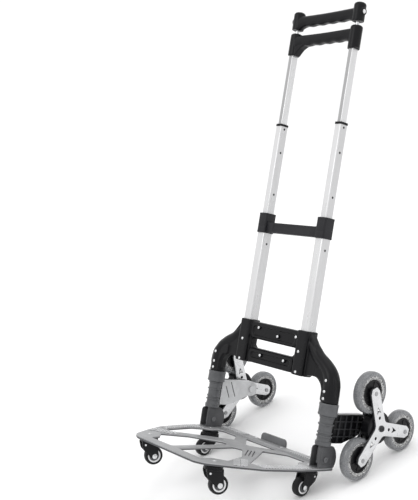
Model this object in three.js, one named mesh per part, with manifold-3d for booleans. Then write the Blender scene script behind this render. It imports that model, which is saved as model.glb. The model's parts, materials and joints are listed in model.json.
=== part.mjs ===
// Stair climbing hand trolley: telescopic twin-tube mast, folding cast deck on
// four casters, and two three-wheel spiders on arms that swing about the legs.
// Millimetres. The trolley is drawn square (mast along +Z, +X right, +Y back,
// Z = 0 under the casters) and then leaned back as one group until two wheels
// of each spider meet the floor with the rear casters.
import * as THREE from 'three';
import { mergeVertices } from 'three/addons/utils/BufferGeometryUtils.js';
import Module from 'manifold-3d';

const wasm = await Module();
wasm.setup();

// ---- driving dimensions ----
const GAP = 0.3;              // between pieces that touch
const MAST_X = 88.2;          // mast tubes, half their spacing
const MAST_Y = -2;            // mast plane, behind (+) or before (-) the leg axes
const OUTER_TUBE = { width: 21.4, depth: 25.2, wall: 1.5, bottom: 242, top: 528 };
const MIDDLE_TUBE = { width: 16.6, depth: 21.2, wall: 1.3, bottom: 440, top: 756 };
const INNER_TUBE = { width: 12.6, depth: 17.2, wall: 1.2, bottom: 700, top: 945 };
const CROSSBAR = { bottom: 514, top: 558, barBottom: 516, barTop: 538, width: 24.6, depth: 30.4 };
const BUSH = { bottom: 752, top: 759, width: 18.6, depth: 23.2 };
const LOWER_HANDLE = { hubBottom: 914, hubTop: 964, gripBottom: 931, gripTop: 957 };
const UPPER_HANDLE = { hubBottom: 973, hubTop: 1013, gripBottom: 976.5, gripTop: 1001 };
const HUB_RADIUS = 13;        // round hubs at the ends of both handles
const GRIP_HALF_DEPTH = 11;
const ROD_RADIUS = 4;
const BUTTON = { radius: 4.6, height: 993, inner: 96.5, outer: 103.4 };

const LEG_X = 173.5;          // vertical legs, the hinges of the wheel arms
const LEG_RADIUS = 8.5;
const LEG_BOTTOM = 70;
const LEG_TOP = 235;
const YOKE = { top: 321, bottom: 228.5, legBottom: 190, webHalfDepth: 11, socketHalfDepth: 17 };
const YOKE_LEG_RADIUS = 18;
const COLLAR = { radius: 20, bottom: 165.5, top: 189.7 };
const SLEEVE = { radius: 14.5, ringRadius: 16.5, bottom: 110, top: 165.2 };

const DECK_TOP = 62.5;
const DECK_BOTTOM = 57;
const DECK_RAIL_TOP = 67;     // raised rail along the back edge
const DECK_DROOP = 1;         // degrees that the open deck hangs below square
const PIN_HEIGHT = 80;        // fold axis, along X through the legs
const PIN_RADIUS = 3;
const LUG = { inner: 161.5, outer: 185.5, wall: 2.8, front: -18, top: 105, backRadius: 30 };

const CASTER_RADIUS = 19;
const CASTER_TRAIL = 14;
const CASTERS = {
  front_left: { x: -105, y: -217, heading: 20 },
  front_right: { x: 105, y: -217, heading: 20 },
  rear_left: { x: -154, y: -10, heading: 180 },
  rear_right: { x: 154, y: -10, heading: 180 },
};

const SPIDER_X = 210.3;       // middle plane of each three-wheel set
const SPIDER_Y = 107.4;
const SPIDER_Z = 152.5;
const SPIDER_REACH = 77.8;    // hub to wheel axle
const WHEEL_RADIUS = 43;
const WHEEL_HALF_WIDTH = 10;
const CORE_RADIUS = 27;
const PLATE_OFFSET = 16.5;    // outer face of each spider plate from the middle plane
const PLATE_THICKNESS = 2.5;
const FLANGE = 3;
const WHEEL_PIN_RADIUS = 4;
const AXLE_RADIUS = 5;
const ARM = { inner: 165.5, split: 176, outer: 187, bottom: 112.5, top: 171.5 };

const rad = THREE.MathUtils.degToRad;

// Lean at which the rear casters and two wheels of each spider share a floor:
// hub and caster centre stand SPIDER_REACH/2 + WHEEL_RADIUS and CASTER_RADIUS above it.
const CASTER_Y = CASTERS.rear_left.y + CASTER_TRAIL * Math.cos(rad(CASTERS.rear_left.heading));
const LEAN = (() => {
  const droop = rad(DECK_DROOP);
  const casterDown = PIN_HEIGHT - CASTER_RADIUS;
  const back = SPIDER_Y - (CASTER_Y * Math.cos(droop) + casterDown * Math.sin(droop));
  const up = SPIDER_Z - (PIN_HEIGHT + CASTER_Y * Math.sin(droop) - casterDown * Math.cos(droop));
  const rise = SPIDER_REACH / 2 + WHEEL_RADIUS - CASTER_RADIUS;
  return Math.acos(rise / Math.hypot(back, up)) - Math.atan2(back, up);
})();
const SPIDER_ANGLE = LEAN - rad(30);

// ---- materials ----
const material = (color, roughness, metalness) =>
  new THREE.MeshStandardMaterial({ color, roughness, metalness });
const ALUMINIUM = material(0xd9dadb, 0.35, 0.9);
const CAST_ALUMINIUM = material(0xaeb0b2, 0.5, 0.7);
const STEEL = material(0xe4e5e6, 0.3, 0.9);
const BLACK_PLASTIC = material(0x26262a, 0.6, 0);
const CHARCOAL_PLASTIC = material(0x3a3a3e, 0.6, 0);
const GREY_PLASTIC = material(0x6c6e71, 0.55, 0);
const DARK_GREY = material(0x4a4b4e, 0.5, 0.2);
const LIGHT_GREY = material(0xb4b5b8, 0.5, 0.2);
const CLEAR_TYRE = material(0xcfd2d6, 0.2, 0);
const BLACK_RUBBER = material(0x1c1c1e, 0.8, 0);

// ---- geometry helpers ----
// Shared vertices merged, slivers dropped and faces turned outwards.
function weld(geometry) {
  const bare = new THREE.BufferGeometry();
  bare.setAttribute('position', geometry.getAttribute('position').clone());
  if (geometry.index) bare.setIndex(geometry.index.clone());
  const merged = mergeVertices(bare, 1e-3);
  const index = merged.index.array;
  const p = merged.getAttribute('position');
  const kept = [];
  let volume = 0;
  const [a, b, c] = [new THREE.Vector3(), new THREE.Vector3(), new THREE.Vector3()];
  for (let i = 0; i < index.length; i += 3) {
    const [u, v, w] = [index[i], index[i + 1], index[i + 2]];
    if (u === v || v === w || w === u) continue;
    kept.push(u, v, w);
    volume += a.fromBufferAttribute(p, u).dot(b.fromBufferAttribute(p, v).cross(c.fromBufferAttribute(p, w)));
  }
  if (volume < 0) kept.reverse();
  merged.setIndex(kept);
  return merged;
}

function solid(geometry) {
  if (geometry instanceof wasm.Manifold) return geometry;
  const g = weld(geometry);
  return new wasm.Manifold(new wasm.Mesh({
    numProp: 3,
    vertProperties: new Float32Array(g.getAttribute('position').array),
    triVerts: new Uint32Array(g.index.array),
  }));
}

const join = (...pieces) => pieces.map(solid).reduce((whole, piece) => whole.add(piece));
const cut = (body, ...tools) => tools.map(solid).reduce((rest, tool) => rest.subtract(tool), solid(body));

function geometryOf(body) {
  if (!(body instanceof wasm.Manifold)) return weld(body);
  const mesh = body.getMesh();
  const geometry = new THREE.BufferGeometry();
  geometry.setAttribute('position', new THREE.BufferAttribute(new Float32Array(mesh.vertProperties), 3));
  geometry.setIndex(Array.from(mesh.triVerts));
  return geometry;
}

function piece(name, body, finish) {
  const geometry = geometryOf(body);
  geometry.computeVertexNormals();
  const mesh = new THREE.Mesh(geometry, finish);
  mesh.name = name;
  return mesh;
}

function box(x, y, z) {
  const [low, high] = [x, y, z].reduce((ends, pair) => {
    ends[0].push(Math.min(...pair));
    ends[1].push(Math.max(...pair));
    return ends;
  }, [[], []]);
  const geometry = new THREE.BoxGeometry(high[0] - low[0], high[1] - low[1], high[2] - low[2]);
  return geometry.translate((low[0] + high[0]) / 2, (low[1] + high[1]) / 2, (low[2] + high[2]) / 2);
}

const outline = (points) => new THREE.Shape(points.map(([a, b]) => new THREE.Vector2(a, b)));
const extruded = (shape, depth, curveSegments) =>
  new THREE.ExtrudeGeometry(shape, { depth, bevelEnabled: false, curveSegments });

// A shape drawn in X-Y, X-Z or Y-Z, given thickness along the remaining axis.
const alongZ = (shape, from, to, curves = 6) => extruded(shape, to - from, curves).translate(0, 0, from);
const alongY = (shape, from, to, curves = 6) =>
  extruded(shape, to - from, curves).rotateX(Math.PI / 2).translate(0, to, 0);
function alongX(shape, from, to, curves = 6) {
  const turn = new THREE.Matrix4().makeBasis(
    new THREE.Vector3(0, 1, 0), new THREE.Vector3(0, 0, 1), new THREE.Vector3(1, 0, 0));
  const [low, high] = [Math.min(from, to), Math.max(from, to)];
  return extruded(shape, high - low, curves).applyMatrix4(turn).translate(low, 0, 0);
}

const rodZ = (radius, x, y, from, to, sides = 16) =>
  new THREE.CylinderGeometry(radius, radius, to - from, sides)
    .rotateX(Math.PI / 2).translate(x, y, (from + to) / 2);
const rodX = (radius, y, z, from, to, sides = 14) =>
  new THREE.CylinderGeometry(radius, radius, Math.abs(to - from), sides)
    .rotateZ(Math.PI / 2).translate((from + to) / 2, y, z);

// A closed profile of [radius, distance along the axis] turned about Z or X.
const turned = (profile, sides) =>
  new THREE.LatheGeometry(profile.concat([profile[0]]).map(([r, h]) => new THREE.Vector2(r, h)), sides);
const turnedZ = (profile, x, y, sides = 20) =>
  turned(profile, sides).rotateX(Math.PI / 2).translate(x, y, 0);
const turnedX = (profile, y, z, sides = 20) =>
  turned(profile, sides).rotateZ(-Math.PI / 2).translate(0, y, z);

function roundedRectangle(width, depth, radius) {
  const [w, d] = [width / 2, depth / 2];
  const shape = new THREE.Shape();
  shape.moveTo(w - radius, -d);
  shape.absarc(w - radius, -d + radius, radius, -Math.PI / 2, 0);
  shape.absarc(w - radius, d - radius, radius, 0, Math.PI / 2);
  shape.absarc(-w + radius, d - radius, radius, Math.PI / 2, Math.PI);
  shape.absarc(-w + radius, -d + radius, radius, Math.PI, 1.5 * Math.PI);
  return shape;
}

const SIDES = { left: -1, right: 1 };
const mirrored = (points) => points.concat(points.slice().reverse().map(([x, h]) => [-x, h]));
const curve = (points, count) =>
  new THREE.SplineCurve(points.map(([a, b]) => new THREE.Vector2(a, b)))
    .getPoints(count).map((p) => [p.x, p.y]);

// ---- mast ----
function mastTube({ width, depth, wall, bottom, top }, side) {
  const shape = roundedRectangle(width, depth, 2.6);
  shape.holes.push(roundedRectangle(width - 2 * wall, depth - 2 * wall, 1.2));
  return alongZ(shape, bottom, top, 2).translate(side * MAST_X, MAST_Y, 0);
}

// A rectangular pocket that clears a mast tube.
function tubePocket({ width, depth }, side, from, to, room = GAP) {
  const x = side * MAST_X;
  const [w, d] = [width / 2 + room, depth / 2 + room];
  return box([x - w, x + w], [MAST_Y - d, MAST_Y + d], [from, to]);
}

function mastTubes() {
  const parts = [];
  for (const [name, side] of Object.entries(SIDES)) {
    parts.push(piece(`outer_tube_${name}`, mastTube(OUTER_TUBE, side), ALUMINIUM));
    parts.push(piece(`middle_tube_${name}`, mastTube(MIDDLE_TUBE, side), ALUMINIUM));
    parts.push(piece(`inner_tube_${name}`, mastTube(INNER_TUBE, side), ALUMINIUM));
    parts.push(piece(`tube_bush_${name}`, tubeBush(side), BLACK_PLASTIC));
  }
  return parts;
}

// End bush of a middle tube, which the inner tube slides through.
function tubeBush(side) {
  const body = alongZ(roundedRectangle(BUSH.width, BUSH.depth, 3), BUSH.bottom, BUSH.top, 3)
    .translate(side * MAST_X, MAST_Y, 0);
  return cut(body,
    tubePocket(MIDDLE_TUBE, side, BUSH.bottom - 1, MIDDLE_TUBE.top + GAP),
    tubePocket(INNER_TUBE, side, BUSH.bottom, BUSH.top + 1));
}

function crossbar() {
  const bar = box([-MAST_X, MAST_X], [MAST_Y - 9, MAST_Y + 9], [CROSSBAR.barBottom, CROSSBAR.barTop]);
  const sockets = Object.values(SIDES).map((side) =>
    alongZ(roundedRectangle(CROSSBAR.width, CROSSBAR.depth, 4), CROSSBAR.bottom, CROSSBAR.top, 3)
      .translate(side * MAST_X, MAST_Y, 0));
  const pockets = Object.values(SIDES).flatMap((side) => [
    tubePocket(OUTER_TUBE, side, CROSSBAR.bottom - 1, OUTER_TUBE.top + GAP),
    tubePocket(MIDDLE_TUBE, side, CROSSBAR.bottom, CROSSBAR.top + 1, 0.4),
  ]);
  return piece('mid_crossbar', cut(join(bar, ...sockets), ...pockets), CHARCOAL_PLASTIC);
}

// ---- handles ----
// Grip bar seen from the front: dished on top, finger waves underneath.
function gripOutline({ gripBottom, gripTop }) {
  const reach = MAST_X - 4;
  const steps = 16;
  const dish = (x) => gripTop - 1.5 * Math.cos((x / reach) * (Math.PI / 2));
  const waves = (x) => gripBottom - 1.6 * Math.cos((x / 62) * 4 * Math.PI) ** 2 + 1.6;
  const points = [];
  for (let i = 0; i <= steps; i += 1) points.push([-reach + (2 * reach * i) / steps, 0]);
  const top = points.map(([x]) => [x, dish(x)]);
  const under = points.map(([x]) => [x, Math.abs(x) > 62 ? gripBottom - 5 : waves(x)]).reverse();
  return outline(top.concat(under));
}

function handleBody(handle) {
  const grip = alongY(gripOutline(handle), MAST_Y - GRIP_HALF_DEPTH, MAST_Y + GRIP_HALF_DEPTH);
  const round = 5;
  const hubs = Object.values(SIDES).map((side) => turnedZ([
    [0, handle.hubBottom], [HUB_RADIUS, handle.hubBottom], [HUB_RADIUS, handle.hubTop - round],
    [HUB_RADIUS - round, handle.hubTop], [0, handle.hubTop]], side * MAST_X, MAST_Y));
  return join(grip, ...hubs);
}

function lowerHandle() {
  const cuts = Object.values(SIDES).flatMap((side) => [
    tubePocket(INNER_TUBE, side, LOWER_HANDLE.hubBottom - 1, INNER_TUBE.top + GAP),
    rodZ(ROD_RADIUS + 0.4, side * MAST_X, MAST_Y, INNER_TUBE.top - 1, LOWER_HANDLE.hubTop + 1),
  ]);
  return piece('lower_handle', cut(handleBody(LOWER_HANDLE), ...cuts), BLACK_PLASTIC);
}

const ROD_TOP = 987;

function upperHandle() {
  const bosses = Object.values(SIDES).map((side) =>
    rodX(8, MAST_Y, BUTTON.height, side * MAST_X, side * 102.6));
  const cuts = Object.values(SIDES).flatMap((side) => [
    rodZ(ROD_RADIUS + GAP, side * MAST_X, MAST_Y, UPPER_HANDLE.hubBottom - 1, ROD_TOP + GAP),
    rodX(BUTTON.radius + 0.4, MAST_Y, BUTTON.height, side * (BUTTON.inner - 4), side * 110),
  ]);
  return piece('upper_handle', cut(join(handleBody(UPPER_HANDLE), ...bosses), ...cuts), BLACK_PLASTIC);
}

function handleFittings() {
  const parts = [];
  for (const [name, side] of Object.entries(SIDES)) {
    parts.push(piece(`pull_rod_${name}`, rodZ(ROD_RADIUS, side * MAST_X, MAST_Y, 905, ROD_TOP), STEEL));
    parts.push(piece(`release_button_${name}`,
      rodX(BUTTON.radius, MAST_Y, BUTTON.height, side * BUTTON.inner, side * BUTTON.outer), LIGHT_GREY));
  }
  return parts;
}

// ---- yoke ----
// Right half of the front view, from the middle of the top edge round to the
// middle of the bottom edge: socket, sloping shoulder, leg and inner arch.
function yokeOutline() {
  const socketInner = MAST_X - 15.5;
  const socketOuter = MAST_X + 15;
  const shoulder = curve([[socketOuter, YOKE.top - 3], [113, 306], [136, 279], [163, 262], [184, 242],
    [LEG_X + YOKE_LEG_RADIUS, 214]], 18);
  const arch = curve([[LEG_X - YOKE_LEG_RADIUS, 205], [LEG_X - YOKE_LEG_RADIUS - 2, 218],
    [LEG_X - YOKE_LEG_RADIUS - 12, 230], [132, 234.5], [112, 233.5]], 12);
  const half = [[socketInner - 6, 312], [socketInner, YOKE.top], [socketOuter, YOKE.top], ...shoulder,
    [LEG_X + YOKE_LEG_RADIUS, 205], ...arch, [107, YOKE.bottom], [66, YOKE.bottom], [60, 236.5]];
  const shape = outline(half.concat(half.slice().reverse().map(([x, z]) => [-x, z])));
  const slot = [[60, 262], [68, 270], [68, 279], [65.5, 281.5]];
  shape.holes.push(outline(mirrored(slot)));
  return shape;
}

function yokeShell(front) {
  const [from, to] = front ? [MAST_Y - 30, MAST_Y - GAP / 2] : [MAST_Y + GAP / 2, MAST_Y + 30];
  const web = alongY(yokeOutline(), MAST_Y - YOKE.webHalfDepth, MAST_Y + YOKE.webHalfDepth);
  const sockets = Object.values(SIDES).map((side) => box(
    [side * (MAST_X - 15.5), side * (MAST_X + 15)],
    [MAST_Y - YOKE.socketHalfDepth, MAST_Y + YOKE.socketHalfDepth],
    [YOKE.bottom, YOKE.top]));
  const legs = Object.values(SIDES).map((side) =>
    rodZ(YOKE_LEG_RADIUS, side * LEG_X, 0, YOKE.legBottom, LEG_TOP + 1, 24));
  const pockets = Object.values(SIDES).flatMap((side) => [
    tubePocket(OUTER_TUBE, side, OUTER_TUBE.bottom - GAP, YOKE.top + 1),
    rodZ(LEG_RADIUS + GAP, side * LEG_X, 0, YOKE.legBottom - 1, LEG_TOP + GAP),
  ]);
  const whole = cut(join(web, ...sockets, ...legs), ...pockets);
  return whole.intersect(solid(box([-300, 300], [from, to], [100, 400])));
}

// ---- legs ----
function legParts() {
  const parts = [];
  for (const [name, side] of Object.entries(SIDES)) {
    const x = side * LEG_X;
    const leg = cut(rodZ(LEG_RADIUS, x, 0, LEG_BOTTOM, LEG_TOP),
      rodX(PIN_RADIUS + 0.4, 0, PIN_HEIGHT, x - 12, x + 12));
    parts.push(piece(`leg_tube_${name}`, leg, CAST_ALUMINIUM));
    const bore = LEG_RADIUS + GAP;
    const ring = [[bore, COLLAR.bottom], [COLLAR.radius - 0.8, COLLAR.bottom],
      [COLLAR.radius - 0.4, COLLAR.top], [bore, COLLAR.top]];
    parts.push(piece(`leg_collar_${name}`, turnedZ(ring, x, 0, 24), GREY_PLASTIC));
  }
  return parts;
}

// ---- wheel arms, drawn at one leg and swung about it ----
function sleeve(x) {
  const { radius, ringRadius, bottom, top } = SLEEVE;
  const bore = LEG_RADIUS + GAP;
  const profile = [[bore, bottom], [ringRadius, bottom], [ringRadius, bottom + 4], [radius, bottom + 5]];
  for (const ring of [125, 141]) {
    profile.push([radius, ring - 2], [ringRadius, ring - 1.2], [ringRadius, ring + 1.2], [radius, ring + 2]);
  }
  profile.push([radius, top], [bore, top]);
  return turnedZ(profile, x, 0, 16);
}

function armOutline() {
  const shape = new THREE.Shape();
  shape.moveTo(8, ARM.bottom);
  shape.lineTo(38, ARM.bottom);
  shape.lineTo(76, 125);
  shape.lineTo(100, 136.6);
  shape.absarc(SPIDER_Y, SPIDER_Z, 17.5, rad(-115), rad(68), false);
  shape.lineTo(98, ARM.top);
  shape.lineTo(8, ARM.top - 2);
  return shape;
}

function armParts(name, side) {
  const x = side * LEG_X;
  const round = join(rodZ(SLEEVE.ringRadius + 0.4, x, 0, 100, 180, 24),
    rodZ(COLLAR.radius + 0.8, x, 0, COLLAR.bottom - 1, 180, 24));
  const axleHole = rodX(AXLE_RADIUS + GAP, SPIDER_Y, SPIDER_Z, side * 150, side * 200);
  const casting = alongX(armOutline(), side * ARM.inner, side * ARM.split, 10);
  const cover = alongX(armOutline(), side * (ARM.split + GAP), side * ARM.outer, 10);
  const outerEnd = SPIDER_X + PLATE_OFFSET;
  const axle = join(
    rodX(AXLE_RADIUS, SPIDER_Y, SPIDER_Z, side * (ARM.inner - 2), side * (outerEnd + 2)),
    rodX(8, SPIDER_Y, SPIDER_Z, side * (ARM.inner - 2.8), side * (ARM.inner - GAP)),
    rodX(7, SPIDER_Y, SPIDER_Z, side * (outerEnd + 0.5), side * (outerEnd + 4), 6));
  return [
    piece(`arm_sleeve_${name}`, sleeve(x), GREY_PLASTIC),
    piece(`wheel_arm_${name}`, cut(casting, round, axleHole), LIGHT_GREY),
    piece(`arm_rib_cover_${name}`, cut(cover, round, axleHole), BLACK_PLASTIC),
    piece(`spider_axle_${name}`, axle, STEEL),
  ];
}

// ---- spiders, drawn about their own hub and turned in place ----
const onCircle = (radius, angle) => [radius * Math.cos(angle), radius * Math.sin(angle)];

// Three arms with chamfered ends; inset shrinks it evenly for the tray inside the flanges.
function spiderOutline(inset = 0) {
  const points = [];
  const arm = [[12, -14], [80, -12.5], [89.5, -6.5], [89.5, 6.5], [80, 12.5], [12, 14]];
  for (let k = 0; k < 3; k += 1) {
    const angle = (k * 2 * Math.PI) / 3;
    for (const [along, across] of arm) {
      const a = along > 85 ? along - inset : along;
      const b = Math.sign(across) * (Math.abs(across) - inset);
      points.push([a * Math.cos(angle) - b * Math.sin(angle), a * Math.sin(angle) + b * Math.cos(angle)]);
    }
  }
  return outline(points);
}

function circlePath(centre, radius) {
  const path = new THREE.Path();
  path.absarc(centre[0], centre[1], radius, 0, 2 * Math.PI);
  return path;
}

// Steel plate with flanges turned towards the wheels; outward is +1 for the outer plate.
function spiderPlate(side, outward) {
  const face = side * outward * PLATE_OFFSET;
  const behind = side * outward * (PLATE_OFFSET - PLATE_THICKNESS);
  const lip = side * outward * (PLATE_OFFSET - PLATE_THICKNESS - FLANGE);
  const flat = spiderOutline();
  flat.holes.push(circlePath([0, 0], AXLE_RADIUS + 0.8));
  for (let k = 0; k < 3; k += 1) {
    const angle = (k * 2 * Math.PI) / 3;
    flat.holes.push(circlePath(onCircle(24, angle), 3.2));
    const arrow = [[36, -4], [36, 4], [44.5, 0]].map(([a, b]) => [
      a * Math.cos(angle) - b * Math.sin(angle), a * Math.sin(angle) + b * Math.cos(angle)]);
    flat.holes.push(outline(arrow));
    if (outward > 0) flat.holes.push(circlePath(onCircle(SPIDER_REACH, angle), WHEEL_PIN_RADIUS + 0.7));
  }
  const rim = spiderOutline();
  rim.holes.push(spiderOutline(2));
  return join(alongX(flat, face, behind, 4), alongX(rim, side * outward * (PLATE_OFFSET - 1), lip));
}

// The inner plate carries the hub tube and the three pins that the wheels turn on.
function innerFrame(side) {
  const behind = -side * (PLATE_OFFSET - 1);
  const hub = cut(rodX(9.5, 0, 0, behind, side * (PLATE_OFFSET - PLATE_THICKNESS - GAP)),
    rodX(AXLE_RADIUS + 0.8, 0, 0, -20, 20));
  const pins = [0, 1, 2].map((k) => {
    const [y, z] = onCircle(SPIDER_REACH, (k * 2 * Math.PI) / 3);
    return rodX(WHEEL_PIN_RADIUS, y, z, behind, side * (PLATE_OFFSET + 2), 16);
  });
  return join(spiderPlate(side, -1), hub, ...pins);
}

function wheelParts(name, number) {
  const w = WHEEL_HALF_WIDTH;
  const tyre = turnedX([[CORE_RADIUS + GAP, -w + 2], [WHEEL_RADIUS - 6, -w], [WHEEL_RADIUS, -w + 6],
    [WHEEL_RADIUS, w - 6], [WHEEL_RADIUS - 6, w], [CORE_RADIUS + GAP, w - 2]], 0, 0, 28);
  const core = turnedX([[WHEEL_PIN_RADIUS + 0.35, -w], [10, -w], [CORE_RADIUS, -w + 2],
    [CORE_RADIUS, w - 2], [10, w], [WHEEL_PIN_RADIUS + 0.35, w]], 0, 0);
  return [
    piece(`stair_tyre_${name}_${number}`, tyre, CLEAR_TYRE),
    piece(`stair_core_${name}_${number}`, core, BLACK_PLASTIC),
  ];
}

function spider(name, side) {
  const group = new THREE.Group();
  group.add(piece(`spider_plate_outer_${name}`, spiderPlate(side, 1), STEEL));
  group.add(piece(`spider_plate_inner_${name}`, innerFrame(side), STEEL));
  for (let k = 0; k < 3; k += 1) {
    const wheel = new THREE.Group();
    wheel.add(...wheelParts(name, k + 1));
    const [y, z] = onCircle(SPIDER_REACH, (k * 2 * Math.PI) / 3);
    wheel.position.set(0, y, z);
    group.add(wheel);
  }
  group.position.set(side * SPIDER_X, SPIDER_Y, SPIDER_Z);
  group.rotation.x = SPIDER_ANGLE;
  return group;
}

// ---- deck ----
// Plan of the cast deck: outer edge, then two side windows, two front windows
// and one back window between the crossed struts.
function deckOutline() {
  const half = [[92, -258], [112, -247], [140, -200], [168, -146], [184, -66], [186, -16], [186, 26],
    [180, 32], [152, 32], [148, 36]];
  const shape = outline(mirrored(half));
  const sideWindow = [[46, -34], [82, 4], [130, 4], [137, -6], [137, -24], [150, -34], [160, -60],
    [146, -140], [128, -148], [100, -108]];
  const frontWindow = [[11, -231], [10, -84], [28, -76], [84, -128], [108, -186], [84, -206], [78, -233]];
  for (const side of Object.values(SIDES)) {
    for (const plan of [sideWindow, frontWindow]) {
      shape.holes.push(outline(plan.map(([x, y]) => [side * x, y])));
    }
  }
  shape.holes.push(outline([[-54, 10], [54, 10], [4, -38], [-4, -38]]));
  return shape;
}

function deckPanel() {
  const plate = alongZ(deckOutline(), DECK_BOTTOM, DECK_TOP);
  const rail = box([-148, 148], [12, 36], [DECK_BOTTOM, DECK_RAIL_TOP]);
  const stems = Object.values(CASTERS).map(({ x, y }) => rodZ(5.4, x, y, 40, 70));
  return piece('deck_panel', cut(join(plate, rail), ...stems), CAST_ALUMINIUM);
}

// Side view of a hinge lug: square front, back rounded about the pin.
function lugOutline() {
  const bottom = DECK_TOP + GAP;
  const low = Math.asin((bottom - PIN_HEIGHT) / LUG.backRadius);
  const high = Math.asin((LUG.top - PIN_HEIGHT) / LUG.backRadius);
  const shape = new THREE.Shape();
  shape.moveTo(LUG.front, bottom);
  shape.absarc(0, PIN_HEIGHT, LUG.backRadius, low, high, false);
  shape.lineTo(LUG.front + 7, LUG.top);
  shape.absarc(LUG.front + 7, LUG.top - 7, 7, rad(90), rad(180), false);
  return shape;
}

function hingeParts() {
  const parts = [];
  for (const [name, side] of Object.entries(SIDES)) {
    const body = alongX(lugOutline(), side * LUG.inner, side * LUG.outer, 10);
    const channel = box([side * (LUG.inner + LUG.wall), side * (LUG.outer - LUG.wall)],
      [LUG.front - 1, 18], [DECK_TOP + 1.8, LUG.top + 1]);
    const hole = rodX(PIN_RADIUS + GAP, 0, PIN_HEIGHT, side * 150, side * 200);
    parts.push(piece(`hinge_lug_${name}`, cut(body, channel, hole), DARK_GREY));
    const pin = join(
      rodX(PIN_RADIUS, 0, PIN_HEIGHT, side * (LUG.inner - 2), side * (LUG.outer + 2)),
      rodX(5.5, 0, PIN_HEIGHT, side * (LUG.inner - 3), side * (LUG.inner - GAP)),
      rodX(5.5, 0, PIN_HEIGHT, side * (LUG.outer + GAP), side * (LUG.outer + 3)));
    parts.push(piece(`hinge_pin_${name}`, pin, STEEL));
  }
  return parts;
}

function footTab() {
  const shape = outline(mirrored([[38, 54], [38, 75], [33, 81]]));
  return piece('foot_tab', alongY(shape, 36 + GAP, 42), DARK_GREY);
}

// ---- casters, drawn about their swivel axis with the wheel trailing along +Y ----
function casterFork() {
  const cheek = outline([[-12, 49], [-11, 36], [CASTER_TRAIL - 7, CASTER_RADIUS - 4],
    [CASTER_TRAIL, CASTER_RADIUS - 7], [CASTER_TRAIL + 6, CASTER_RADIUS - 3],
    [CASTER_TRAIL + 6, CASTER_RADIUS + 5], [13, 49]]);
  return join(
    rodZ(15, 0, 0, 46.5, DECK_BOTTOM - 1),
    rodZ(5, 0, 0, 51, 61.5, 12),
    alongX(cheek, 9.5, 12.5),
    alongX(cheek, -12.5, -9.5),
    rodX(3, CASTER_TRAIL, CASTER_RADIUS, -13.5, 13.5, 12));
}

function casterWheel() {
  const r = CASTER_RADIUS;
  return turnedX([[3.4, -8.5], [r - 4, -8.5], [r, -5], [r, 5], [r - 4, 8.5], [3.4, 8.5]],
    CASTER_TRAIL, r);
}

function caster(name, { x, y, heading }) {
  const group = new THREE.Group();
  group.add(piece(`caster_fork_${name}`, casterFork(), BLACK_PLASTIC));
  group.add(piece(`caster_wheel_${name}`, casterWheel(), BLACK_RUBBER));
  group.position.set(x, y, 0);
  group.rotation.z = -rad(heading);
  return group;
}

// The open deck hangs by DECK_DROOP about the hinge pins.
function deck() {
  const inner = new THREE.Group();
  inner.add(deckPanel(), footTab(), ...hingeParts());
  for (const [name, place] of Object.entries(CASTERS)) inner.add(caster(name, place));
  inner.position.z = -PIN_HEIGHT;
  const outer = new THREE.Group();
  outer.add(inner);
  outer.position.z = PIN_HEIGHT;
  outer.rotation.x = rad(DECK_DROOP);
  return outer;
}

// ---- assembly ----
const leaning = new THREE.Group();
leaning.name = 'leaning_trolley';
leaning.add(
  piece('yoke_front_shell', yokeShell(true), BLACK_PLASTIC),
  piece('yoke_back_shell', yokeShell(false), BLACK_PLASTIC),
  crossbar(), lowerHandle(), upperHandle(), ...mastTubes(), ...handleFittings(), ...legParts(), deck());
for (const [name, side] of Object.entries(SIDES)) {
  leaning.add(...armParts(name, side), spider(name, side));
}
leaning.rotation.x = -LEAN;

// Origin on the floor, at the middle of the space that the trolley takes up.
const trolley = new THREE.Group();
trolley.add(leaning);
trolley.updateMatrixWorld(true);
const space = new THREE.Box3().setFromObject(leaning, true);
leaning.position.set(0, -(space.min.y + space.max.y) / 2, -space.min.z);

export default trolley;
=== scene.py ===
import json
import math

import bmesh
import bpy
from mathutils import Matrix, Vector


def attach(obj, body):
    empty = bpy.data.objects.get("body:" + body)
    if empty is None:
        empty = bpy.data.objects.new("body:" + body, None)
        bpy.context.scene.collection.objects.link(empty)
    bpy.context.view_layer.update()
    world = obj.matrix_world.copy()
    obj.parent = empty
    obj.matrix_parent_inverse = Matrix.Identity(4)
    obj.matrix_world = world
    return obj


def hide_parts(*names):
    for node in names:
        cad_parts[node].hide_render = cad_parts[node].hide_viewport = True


# Looks of the stair climbing trolley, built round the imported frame.
#
# Pieces are drawn in millimetres on the trolley standing square (mast along +Z,
# +X right, +Y back) and carried into the row frame by matrices that are worked
# out from the frame's joints.
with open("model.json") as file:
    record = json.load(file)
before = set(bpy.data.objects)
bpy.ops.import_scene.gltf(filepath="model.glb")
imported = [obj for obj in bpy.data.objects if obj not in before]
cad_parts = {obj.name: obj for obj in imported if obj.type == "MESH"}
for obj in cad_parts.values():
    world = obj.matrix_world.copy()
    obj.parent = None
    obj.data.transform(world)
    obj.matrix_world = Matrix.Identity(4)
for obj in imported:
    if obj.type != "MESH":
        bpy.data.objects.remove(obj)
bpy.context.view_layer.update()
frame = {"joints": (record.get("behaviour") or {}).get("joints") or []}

# ---- driving dimensions, in millimetres ----
PIN_HEIGHT = 80
MAST_X = 88.2
MAST_Y = -2
LEG_X = 173.5
LEG_RADIUS = 8.5
YOKE_LEG_RADIUS = 18
HUB_RADIUS = 13
DECK_TOP = 62.5
DECK_BOTTOM = 57
SPIDER_REACH = 77.8
SPIDER_Y = 107.4
SPIDER_Z = 152.5
PLATE_OFFSET = 16.5
CASTER_RADIUS = 19
CASTER_TRAIL = 14
CASTER_AXLE = (CASTER_TRAIL, CASTER_RADIUS)
BUTTON_HEIGHT = 993
SIDES = {"left": -1, "right": 1}

# ---- frames ----
MM = Matrix.Scale(0.001, 4)
joints = {joint["name"]: joint for joint in frame["joints"]}


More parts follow.
